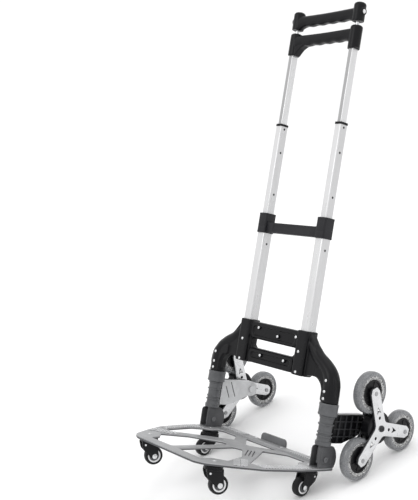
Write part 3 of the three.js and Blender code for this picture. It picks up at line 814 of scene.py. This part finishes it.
def make_yoke():
    whole = remeshed(yoke_solid(), 1.0, 4)
    pockets = []
    for side in SIDES.values():
        x = side * MAST_X
        pockets.append(block((x - 11, x + 11), (MAST_Y - 12.9, MAST_Y + 12.9), (241.5, 330)))
        pockets.append(rod(LEG_RADIUS + 0.3, 180, 235.5, "Z", (side * LEG_X, 0)))
    cut(whole, *pockets)
    halves = {"front": (-60, MAST_Y - 0.15), "back": (MAST_Y + 0.15, 60)}
    for name, reach in halves.items():
        half = boolean(link(name, whole.data.copy()), block((-300, 300), reach, (100, 400)), "INTERSECT")
        skin(f"yoke_{name}_shell", half, SQUARE, "frame", BLACK_AND_PAINTED_SHADE, 55)
    bpy.data.objects.remove(whole)
    bosses, screws = [], []
    for x, z in YOKE_SCREWS:
        near_socket = abs(x) > SOCKET_EDGE
        face = MAST_Y - (SOCKET_DEPTH if near_socket else RAISED + 0.1)
        if not near_socket:
            bosses.append(rod(4.4, MAST_Y - 6, face + 0.2, "Y", (x, z), 0.5, 32))
        screws.append((x, face + 0.2, z))
    for side in SIDES.values():
        for height in LEG_SCREWS:
            screws.append((side * LEG_SCREW_X, LEG_SCREW_Y, height))
            bosses.append(rod(4.2, -12, -18, "Y", (side * LEG_SCREW_X, height), 0.6, 32))
    finish("yoke_screw_bosses", join("bosses", bosses), SQUARE, "frame", BLACK_AND_PAINTED_SHADE)
    rivets = [heads(screws, RIVET_RADIUS, RIVET_HEIGHT)]
    for side in SIDES.values():
        rivets.append(heads([(side * 103.3, -4, 303)], RIVET_RADIUS, RIVET_HEIGHT, side, "X"))
    finish("yoke_rivets", join("rivets", rivets), SQUARE, "frame", STEEL)


# ---- legs, collars and sleeves ----
def make_legs():
    for hand, side in SIDES.items():
        at = (side * LEG_X, 0)
        leg = rod(LEG_RADIUS, 70, 235, "Z", at, 0.6)
        cut(leg, rod(3.4, side * LEG_X - 14, side * LEG_X + 14, "X", (0, PIN_HEIGHT)))
        skin(f"leg_tube_{hand}", leg, SQUARE, "frame", LEG_METAL)
        profile = [(8.9, 165.5), (18.8, 165.5), (19.7, 166.4), (19.9, 168.5), (19.3, 170.2),
                   (19.2, 184.2), (19.8, 185.6), (19.8, 188), (19, 189.6), (8.9, 189.6)]
        collar = turned(profile, "Z", (*at, 0), 72)
        cut(collar, block((at[0] - 3.2, at[0] + 3.2), (-24, -18.4), (173, 182), 0.8))
        skin(f"leg_collar_{hand}", collar, SQUARE, "frame", GREY)
        make_sleeve(hand, side)


def make_sleeve(hand, side):
    profile = [(8.9, 105.8), (15.4, 105.8), (16.2, 106.6), (16.4, 113.4), (15.6, 114.1), (14.4, 114.6)]
    for ring, reach in ((124.5, 16.2), (131.5, 15.6), (148, 16.2)):
        profile += [(13.9, ring - 2), (reach - 0.3, ring - 1.3), (reach, ring - 0.7), (reach, ring + 0.7),
                    (reach - 0.3, ring + 1.3), (13.9, ring + 2)]
    profile += [(14.4, 160.4), (15.6, 161.2), (15.6, 164.4), (15, 165.1), (8.9, 165.1)]
    sleeve = turned(profile, "Z", (side * LEG_X, 0, 0), 72)
    skin(f"arm_sleeve_{hand}", sleeve, SQUARE, f"arm_{hand}", GREY)


# ---- wheel arms ----
SPIDER_CENTRE = (SPIDER_Y, SPIDER_Z)
ARM_LINE_TILT = 0.5
BOLT_TURN = 0.5
AXLE_END = 226.8


def arm_outline(inset=0.0):
    points = [(8 + inset, 112.5 + inset), (38 - inset * 0.3, 112.5 + inset), (76, 125 + inset),
              (100, 136.6 + inset)]
    radius = 17.5 - inset
    steps = 22
    for i in range(steps + 1):
        angle = math.radians(-115 + 183 * i / steps)
        points.append((SPIDER_Y + radius * math.cos(angle), SPIDER_Z + radius * math.sin(angle)))
    return points + [(98, 171.5 - inset), (8 + inset, 169.5 - inset)]


def clear_of_leg(piece, side):
    leg = (side * LEG_X, 0)
    return cut(piece, rod(16.9, 100, 180, "Z", leg), rod(20.8, 164.5, 182, "Z", leg),
               rod(5.3, side * 150, side * 200, "X", SPIDER_CENTRE))


def make_arms():
    for hand, side in SIDES.items():
        body = f"arm_{hand}"
        casting = plate(arm_outline(), side * 166.2, side * 176, "X", edge=1.4)
        rim = plate(arm_outline(0.3), side * 165.5, side * 167.4, "X", [arm_outline(3.6)], edge=0.5)
        face = clear_of_leg(remeshed(join("arm", [casting, rim]), 0.8, 2), side)
        skin(f"wheel_arm_{hand}", face, SQUARE, body, LIGHT_GREY, 45)
        marks = [block((side * 165.8, side * 166.6), (start - 0.9, start + 0.9), (-reach, reach), 0.2)
                 for start, reach in ((0, 15), (17, 21))]
        lines = join("lines", marks)
        lines.data.transform(Matrix.Translation((0, 34, 143)) @ Matrix.Rotation(ARM_LINE_TILT, 4, "X"))
        finish(f"arm_lines_{hand}", lines, SQUARE, body, DARK_GREY_AND_PAINTED_SHADE)
        make_rib_cover(hand, side, body)
        make_axle(hand, side, body)


def make_rib_cover(hand, side, body):
    """The ribbed outer half of an arm, with the grid of ribs that stands in its hollow. Its black is
    painted shade for the deep pockets between the ribs, and the grid's dark grey is the arm's grey darkened
    as painted shade, left lighter than the pockets.
    """
    plain = plate(arm_outline(), side * 176.3, side * 183.4, "X", edge=0.8)
    near, far = side * 183, side * 187
    rib = plate(arm_outline(), near, far, "X", [arm_outline(2.2)], edge=0.4)
    bars = [block((near, far), (8, 112), (height - 0.7, height + 0.7), 0.3) for height in (126, 141, 156)]
    bars += [block((near, far), (y - 0.7, y + 0.7), (112.5, 171), 0.3) for y in range(26, 98, 18)]
    cover = join("cover", [plain, rib, rod(12, near, far, "X", SPIDER_CENTRE, 0.4)])
    grid = join("grid", bars)
    for piece in (cover, grid):
        boolean(piece, plate(arm_outline(-0.01), side * 176, side * 188, "X", edge=0.05), "INTERSECT")
        clear_of_leg(piece, side)
    finish(f"arm_shaded_rib_grid_{hand}", grid, SQUARE, body, DARK_GREY_AND_PAINTED_SHADE)
    skin(f"arm_rib_cover_{hand}", cover, SQUARE, body, BLACK_AND_PAINTED_SHADE)


def make_axle(hand, side, body):
    washer = rod(8, side * 162.7, side * 165.2, "X", SPIDER_CENTRE, 0.5)
    finish(f"axle_washer_{hand}", washer, SQUARE, body, LIGHT_GREY)
    axle = rod(5, side * 163.5, side * (AXLE_END + 2), "X", SPIDER_CENTRE)
    skin(f"spider_axle_{hand}", axle, SQUARE, body, STEEL)
    profile = [(0, 0.4), (6.4, 0.4), (6.6, 1.2), (5.6, 3), (3, 3.9), (0, 4)]
    profile = [(radius, side * (AXLE_END + out)) for radius, out in profile]
    bolt = turned(profile, "X", (0, *SPIDER_CENTRE), 48)
    turn = Matrix.Translation((0, *SPIDER_CENTRE)) @ Matrix.Rotation(BOLT_TURN, 4, "X")
    back = Matrix.Translation((0, -SPIDER_Y, -SPIDER_Z))
    for y, z in ((4, 0.8), (0.8, 4)):
        notch = block((side * (AXLE_END + 2.4), side * (AXLE_END + 6)), (SPIDER_Y - y, SPIDER_Y + y),
                      (SPIDER_Z - z, SPIDER_Z + z))
        notch.data.transform(turn @ back)
        cut(bolt, notch)
    finish(f"spider_bolt_{hand}", bolt, SQUARE, body, DARK_GREY_AND_PAINTED_SHADE)


# ---- spiders and their wheels ----
BOLT_HEIGHT = 1.9
STAIR_WHEEL_HALF = 9.9
SPOKES = 6
SPIDER_ARM = [(12, -14), (80, -12.5), (89.5, -6.5), (89.5, 6.5), (80, 12.5), (12, 14)]


def about(a, b, k):
    angle = 2 * math.pi * k / 3
    return (a * math.cos(angle) - b * math.sin(angle), a * math.sin(angle) + b * math.cos(angle))


def spider_outline(inset=0.0):
    points = []
    for k in range(3):
        for along, across in SPIDER_ARM:
            reach = along - inset if along > 85 else along
            points.append(about(reach, math.copysign(abs(across) - inset, across), k))
    return rounded(points, 1.6)


def make_spiders():
    for hand, side in SIDES.items():
        matrix = spider_frame(hand)
        body = f"spider_{hand}"
        for place, outward in (("outer", 1), ("inner", -1)):
            make_spider_plate(f"{place}_{hand}", side, outward, matrix, body)
        # A black filler round the hub between the plates: painted shade for the dark gap between the spider
        # plates.
        profile = both_ways([(10, -10.8), (31, -10.8), (33, -9)])
        shade_filler = turned(profile, "X", segments=96)
        finish(f"spider_hub_shade_filler_{hand}", shade_filler, matrix, body, BLACK_AND_PAINTED_SHADE)
        for number in (1, 2, 3):
            make_stair_wheel(f"{hand}_{number}", wheel_frame(hand, number))


def make_spider_plate(place, side, outward, matrix, body):
    face = side * outward * PLATE_OFFSET
    behind = side * outward * (PLATE_OFFSET - 2.5)
    holes = [circle(0, 0, 5.8)]
    for k in range(3):
        holes.append([about(24 + a, b, k) for a, b in circle(0, 0, 3.2, 24)])
        arrow = [(33.5, -6.2), (48, 0), (33.5, 6.2), (37.5, 0)]
        holes.append(rounded([about(a, b, k) for a, b in arrow], 0.6))
    parts = [plate(spider_outline(), face, behind, "X", holes, edge=0.7)]
    # The dark grey rim behind each plate's edge is painted shade for the plate's edge turned from the
    # light.
    rim = plate(spider_outline(0.05), side * outward * (PLATE_OFFSET - 1.6),
                side * outward * (PLATE_OFFSET - 5.5), "X", [spider_outline(2)], edge=0.3)
    finish(f"spider_shaded_flange_{place}", rim, matrix, body, DARK_GREY_AND_PAINTED_SHADE)
    if outward > 0:
        step = [(54, -9.6), (86, -8.4), (86, 8.4), (54, 9.6)]
        for k in range(3):
            outline = rounded([about(a, b, k) for a, b in step], 3)
            parts.append(plate(outline, face - side * 0.8, face + side * 0.5, "X", edge=0.4))
    else:
        parts.append(rod(9.5, behind, side * 13.5, "X"))
        for k in range(3):
            parts.append(rod(4, behind, side * 15, "X", about(SPIDER_REACH, 0, k)))
    skin(f"spider_plate_{place}", join("plate", parts), matrix, body, STEEL)
    profile = [(0, 0), (4.6, 0), (4.6, 0.8), (3.7, BOLT_HEIGHT * 0.9), (0, BOLT_HEIGHT)]
    profile = [(radius, face + side * outward * (0.3 + out)) for radius, out in profile]
    bolts = [turned(profile, "X", (0, *about(SPIDER_REACH, 0, k)), 32) for k in range(3)]
    finish(f"wheel_bolts_{place}", join("bolts", bolts), matrix, body, CAST)


def make_stair_wheel(name, matrix):
    body = f"stair_wheel_{name}"
    w = STAIR_WHEEL_HALF
    band = both_ways([(27.2, -w + 1.6), (28.2, -w + 0.9), (33.6, -w + 0.3), (34.4, -w + 0.9)])
    finish(f"stair_tyre_glitter_{name}", turned(band, "X", (0, 0, 0), 96), matrix, body, GLITTER)
    profile = both_ways([(34.5, -w + 0.9), (36.5, -w), (39.5, -w + 0.6), (41.6, -w + 2.4), (42.7, -w + 5)],
                        (42.95, 0))
    skin(f"stair_tyre_{name}", turned(profile, "X", (0, 0, 0), 96), matrix, body, TYRE, 60)
    profile = both_ways([(4.4, -w), (9.5, -w), (10, -w + 0.5), (10.4, -w + 2.6), (22.5, -w + 3.4),
                         (23.4, -w + 1.9), (26.4, -w + 1.9), (27, -w + 2.5)])
    parts = [turned(profile, "X", (0, 0, 0), 80)]
    for k in range(SPOKES):
        spoke = block((-w + 2, w - 2), (9.5, 24), (-1.3, 1.3), 0.4, 2)
        spoke.data.transform(Matrix.Rotation(2 * math.pi * k / SPOKES, 4, "X"))
        parts.append(spoke)
    skin(f"stair_core_{name}", join("core", parts), matrix, body, BLACK_AND_PAINTED_SHADE)


# ---- deck ----
DECK_EDGE = [(92, -258), (112, -247), (140, -200), (168, -146), (184, -66), (186, -16), (186, 26),
             (180, 32), (152, 32), (148, 36)]
SIDE_WINDOW = [(46, -34), (82, 4), (130, 4), (137, -6), (137, -24), (150, -34), (160, -60), (146, -140),
               (128, -148), (100, -108)]
FRONT_WINDOW = [(11, -231), (10, -84), (28, -76), (84, -128), (108, -186), (84, -206), (78, -233)]
BACK_WINDOW = symmetric([(54, 10), (4, -38)])
RIB_PITCH = 6
RIB_HALF_WIDTH = 1.3
RIB_HEIGHT = 1
BED_HEIGHT = 0.25
EDGE_TOP = 60
RAIL_TOP = 66.2
SKIRT_SCALE = 0.965
SKIRT_CENTRE = -110
RIB_MARGIN = 1.6
BED_MARGIN = RIB_MARGIN - 0.5


def comb(region, angle, pitch):
    """Fine parallel ribs over a region of the deck's top, cut off at its edge."""
    centre = Vector((sum(x for x, _ in region) / len(region), sum(y for _, y in region) / len(region)))
    reach = max((Vector(point) - centre).length for point in region)
    count = int(reach / pitch)
    bars = []
    for i in range(-count, count + 1):
        bar = block((-reach, reach), (i * pitch - RIB_HALF_WIDTH, i * pitch + RIB_HALF_WIDTH),
                    (DECK_TOP - 0.4, DECK_TOP + RIB_HEIGHT))
        bar.data.transform(Matrix.Translation((centre.x, centre.y, 0)) @ Matrix.Rotation(angle, 4, "Z"))
        bars.append(bar)
    inside = plate(region, DECK_TOP - 2, DECK_TOP + 4, "Z", edge=0.05)
    return boolean(join("bars", bars), inside, "INTERSECT")


def strip(start, end, near, far):
    """The four corners of a band beside the line from start to end."""
    start, end = Vector(start), Vector(end)
    along = (end - start).normalized()
    across = Vector((-along.y, along.x))
    return [tuple(point) for point in (start + across * near, end + across * near,
                                       end + across * far, start + across * far)]


def heading_of(start, end):
    return math.atan2(end[1] - start[1], end[0] - start[0])


def deck_plan():
    holes = [rounded(BACK_WINDOW, 5)]
    for side in SIDES.values():
        for window in (SIDE_WINDOW, FRONT_WINDOW):
            holes.append(rounded([(side * x, y) for x, y in window], 6))
    return rounded(mirrored(DECK_EDGE), 6), holes


def tread_ribs(side):
    """Ribs on one side bar and chevrons in its front corner, with the beds they stand on painted dark as
    painted shade between the ribs.
    """
    side_bar = [(side * x, y) for x, y in
                ((150, -32), (194, -32), (194, -70), (178, -140), (138, -148), (158, -60))]
    made = [comb(side_bar, side * 0.22, RIB_PITCH)]
    start, end = (side * 100, -146), (side * 150, -190)
    heading = heading_of(start, end)
    made.append(comb(strip(start, end, 0.4, 14), heading + 0.9, RIB_PITCH))
    made.append(comb(strip(start, end, -0.4, -14), heading - 0.9, RIB_PITCH))
    beds = [plate(region, DECK_TOP - 0.4, DECK_TOP + BED_HEIGHT, "Z", edge=0.05)
            for region in (side_bar, strip(start, end, -14, 14))]
    return made, beds


def caster_places():
    for joint in joints:
        if joint.startswith("caster_") and joint.endswith("_swivel"):
            foot = DECK.inverted() @ joint_place(joint)
            yield foot.x, foot.y


def stem_holes():
    return [rod(5.4, 40, 62.4, "Z", place) for place in caster_places()]


def make_deck():
    outline, holes = deck_plan()
    slab = plate(outline, EDGE_TOP, DECK_TOP, "Z", holes, edge=0.9)
    rail = plate(rounded(rectangle(-148, 148, 12.5, 35.8), 3), EDGE_TOP, RAIL_TOP, "Z", edge=1.4)
    tools = stem_holes()
    for side in SIDES.values():
        heading = heading_of((side * 37, -55), (side * 92, -118))
        for k in (-1, 0, 1):
            middle = Vector((side * 63, -87)) + Vector((-math.sin(heading), math.cos(heading))) * k * 7
            tools.append(slot_tool(middle.x, middle.y, heading, 56, 2.4))
    body = cut(join("deck", [slab, rail]), *tools)
    skin("deck_panel", body, DECK, "deck", CAST, 45)

    # The deck's under edge and skirt are its metal painted dark: painted shade on the sides and underside
    # of the deck.
    under = plate(outline, DECK_BOTTOM + 1.4, EDGE_TOP + 0.2, "Z", holes, edge=0.3)
    inner = [(x * SKIRT_SCALE, SKIRT_CENTRE + (y - SKIRT_CENTRE) * SKIRT_SCALE) for x, y in outline]
    skirt = plate(outline, DECK_BOTTOM, DECK_BOTTOM + 1.8, "Z", [inner], edge=0.5)
    shaded_under = join("deck_shaded_edge", [under, skirt])
    cut(shaded_under, *stem_holes())
    finish("deck_shaded_edge", shaded_under, DECK, "deck", LUG_METAL_AND_PAINTED_SHADE, (), 45)

    ribs, beds = (first + second for first, second in zip(tread_ribs(1), tread_ribs(-1)))
    ribs, beds = join("ribs", ribs), join("beds", beds)
    for piece, margin in ((ribs, RIB_MARGIN), (beds, BED_MARGIN)):
        boolean(piece, plate(outline, DECK_TOP - 2, DECK_TOP + 4, "Z", holes, 0.05, margin), "INTERSECT")
    finish("deck_tread_shade_beds", beds, DECK, "deck", LUG_METAL_AND_PAINTED_SHADE)
    finish("deck_tread_ribs", ribs, DECK, "deck", RIB_PAINTED_HIGHLIGHT)
    rail_ribs = [block((side * x - 1.3, side * x + 1.3), (13.8, 34.4), (66, 67.4))
                 for side in SIDES.values() for x in range(76, 144, 6)]
    finish("deck_rail_ribs", join("rail_ribs", rail_ribs), DECK, "deck", RIB_PAINTED_HIGHLIGHT)
    # Dark beds under the rail ribs: painted shade between the ribs.
    rail_beds = [block((side * 73, side * 144), (13.8, 34.4), (66, RAIL_TOP + BED_HEIGHT))
                 for side in SIDES.values()]
    finish("deck_rail_shade_beds", join("rail_beds", rail_beds), DECK, "deck", LUG_METAL_AND_PAINTED_SHADE)

    screws = [(x, y, DECK_TOP - 0.1) for x, y in caster_places()]
    for side in SIDES.values():
        screws += [(side * 104, 24, 66.6), (side * 150, 24, DECK_TOP - 0.1), (side * 40, 24, 66.6)]
    finish("deck_screws", heads(screws, 3.6, 1.3, 1, "Z"), DECK, "deck", STEEL)
    tab = plate(rounded(symmetric([(38, 54), (38, 75), (33, 81)]), 5), 36.3, 42, "Y", edge=1.2)
    skin("foot_tab", tab, DECK, "deck", TAB_METAL)


def slot_tool(x, y, angle, length, width):
    outline = []
    half = length / 2 - width / 2
    for end, start in ((1, -90), (-1, 90)):
        for i in range(9):
            turn = math.radians(start + 180 * i / 8)
            outline.append((end * half + width / 2 * math.cos(turn), width / 2 * math.sin(turn)))
    tool = plate(outline, DECK_TOP - 8, DECK_TOP + 4, "Z", edge=0.05)
    tool.data.transform(Matrix.Translation((x, y, 0)) @ Matrix.Rotation(angle, 4, "Z"))
    return tool


# ---- hinge lugs ----
def lug_outline():
    bottom, top, reach = 62.8, 105, 33
    low = math.asin((bottom - PIN_HEIGHT) / reach)
    high = math.asin((top - PIN_HEIGHT) / reach)
    points = [(-18, bottom)]
    steps = 16
    for i in range(steps + 1):
        angle = low + (high - low) * i / steps
        points.append((reach * math.cos(angle), PIN_HEIGHT + reach * math.sin(angle)))
    return points + [(-11, top), (-16, top - 2), (-18, top - 7)]


def make_lugs():
    for hand, side in SIDES.items():
        lug = plate(lug_outline(), side * 161.5, side * 185.5, "X", edge=1.5)
        tools = [block((side * 164.3, side * 182.7), (-19, 18), (64.3, 106)),
                 rod(3.3, side * 150, side * 200, "X", (0, PIN_HEIGHT))]
        cut(lug, *tools)
        rim_hole = rounded(rectangle(-10, 16, 70, 95), 4)
        rim = plate(rounded(rectangle(-14, 20, 66, 99), 4), side * 185.2, side * 186.1, "X",
                    [rim_hole], edge=0.25)
        skin(f"hinge_lug_{hand}", join("lug", [lug, rim]), DECK, "deck", LUG_METAL_AND_PAINTED_SHADE)
        parts = [rod(3, side * 159.5, side * 187.5, "X", (0, PIN_HEIGHT))]
        for start, end in ((158.5, 161.2), (186.2, 188.6)):
            parts.append(rod(5.5, side * start, side * end, "X", (0, PIN_HEIGHT), 0.9))
        socket = rod(2.2, side * 187.4, side * 190, "X", (0, PIN_HEIGHT), 0.2, 6)
        skin(f"hinge_pin_{hand}", cut(join("pin", parts), socket), DECK, "deck", PIN_METAL)


# ---- casters ----
FORK_CHEEKS = ((9.5, 12.5), (-12.5, -9.5))
CASTER_HALF = 8.4


def make_casters():
    for place in ("front_left", "front_right", "rear_left", "rear_right"):
        make_caster_fork(place, caster_frame(place))
        make_caster_wheel(place, caster_frame(place))


def make_caster_fork(place, matrix):
    cheek = rounded([(-16, 51), (-17, 43), (-12, 31), (CASTER_TRAIL - 8, 16), (CASTER_TRAIL, 12),
                            (CASTER_TRAIL + 6, 16), (CASTER_TRAIL + 7, 24), (18, 42), (17, 51)], 3)
    shells = [plate(cheek, *reach, "X", edge=0.8) for reach in FORK_CHEEKS]
    crown = rounded([(-12.3, 46), (-9, 50), (9, 50), (12.3, 46), (12.3, 42.5), (-12.3, 42.5)], 2)
    shells.append(plate(crown, -12, 13, "Y", edge=1.2))
    shells.append(turned([(0, 46.6), (17.4, 46.6), (18.6, 47.6), (18.6, 50.6), (17.7, 51), (17.7, 51.8),
                          (18.6, 52.2), (18.6, 54.8), (17.4, 55.9), (0, 55.9)], "Z", (0, 0, 0), 64))
    shells.append(rod(5, 55, 61.4, "Z"))
    shells.append(block((-9.6, 9.6), (-10, 12), (41.5, 47), 1))
    body = f"caster_{place}"
    skin(f"caster_fork_{place}", join("fork", shells), matrix, body, BLACK_AND_PAINTED_SHADE)
    caps = [rod(3, -13.4, 13.4, "X", CASTER_AXLE, 0.4), rod(2.2, -13.3, 13.3, "X", (-9, 41), 0.4)]
    for side in (-1, 1):
        profile = [(0, side * 12.4), (5.2, side * 12.4), (5.2, side * 12.9), (3.8, side * 13.8),
                   (0, side * 14.2)]
        caps.append(turned(profile, "X", (0, *CASTER_AXLE), 36))
    finish(f"caster_axle_caps_{place}", join("caps", caps), matrix, body, STEEL)


def make_caster_wheel(place, matrix):
    body = f"caster_roll_{place}"
    centre = (0, *CASTER_AXLE)
    r = CASTER_RADIUS - 0.05
    w = CASTER_HALF
    profile = both_ways([(13.2, -w + 1), (15, -w), (r - 2.2, -w + 0.5), (r - 0.5, -w + 2.4), (r, -w + 5)])
    finish(f"caster_tyre_{place}", turned(profile, "X", centre, 72), matrix, body, RUBBER,
                 [f"caster_wheel_{place}"], 60)
    profile = [(10.2, -w + 1.2), (11, -w + 0.3), (13.2, -w + 0.6), (13.3, w - 0.6), (11, w - 0.3),
               (10.2, w - 1.2)]
    finish(f"caster_rim_{place}", turned(profile, "X", centre, 64), matrix, body, WHITE_RIM)
    profile = both_ways([(3.4, -w), (6, -w), (6.4, -w + 1.6), (10.1, -w + 1.6)])
    finish(f"caster_hub_{place}", turned(profile, "X", centre, 64), matrix, body, GREY)


# ---- stage ----
def make_stage():
    bm = bmesh.new()
    bmesh.ops.create_grid(bm, x_segments=1, y_segments=1, size=60)
    floor = from_bmesh("floor", bm)
    shader = Shader("floor_white", (0.985, 0.985, 0.988), 0.7, Specular_IOR_Level=0.2)
    shader.vary_color(shader.noise(3, 3), 0.99, 1.0)
    floor.data.materials.append(shader.material)
    world = bpy.data.worlds.new("studio")
    world.use_nodes = True
    background = world.node_tree.nodes["Background"]
    background.inputs["Color"].default_value = (1, 1, 1, 1)
    background.inputs["Strength"].default_value = 1.07
    bpy.context.scene.world = world
    add_light("key", (-0.6, -2.6, 3.0), 1.6, 22)
    add_light("top", (0.6, 0.8, 3.4), 2.4, 14)
    bpy.context.scene.view_settings.view_transform = "Standard"


def add_light(name, place, size, power):
    data = bpy.data.lights.new(name, "AREA")
    data.shape = "DISK"
    data.size = size
    data.energy = power
    light = link(name, data)
    light.location = place
    aim = Vector((0, -0.05, 0.35)) - Vector(place)
    light.rotation_mode = "QUATERNION"
    light.rotation_quaternion = aim.to_track_quat("-Z", "Y")


add_camera()
make_mast()
make_crossbar()
make_lower_handle()
make_upper_handle()
make_yoke()
make_legs()
make_arms()
make_spiders()
make_deck()
make_lugs()
make_casters()
make_stage()
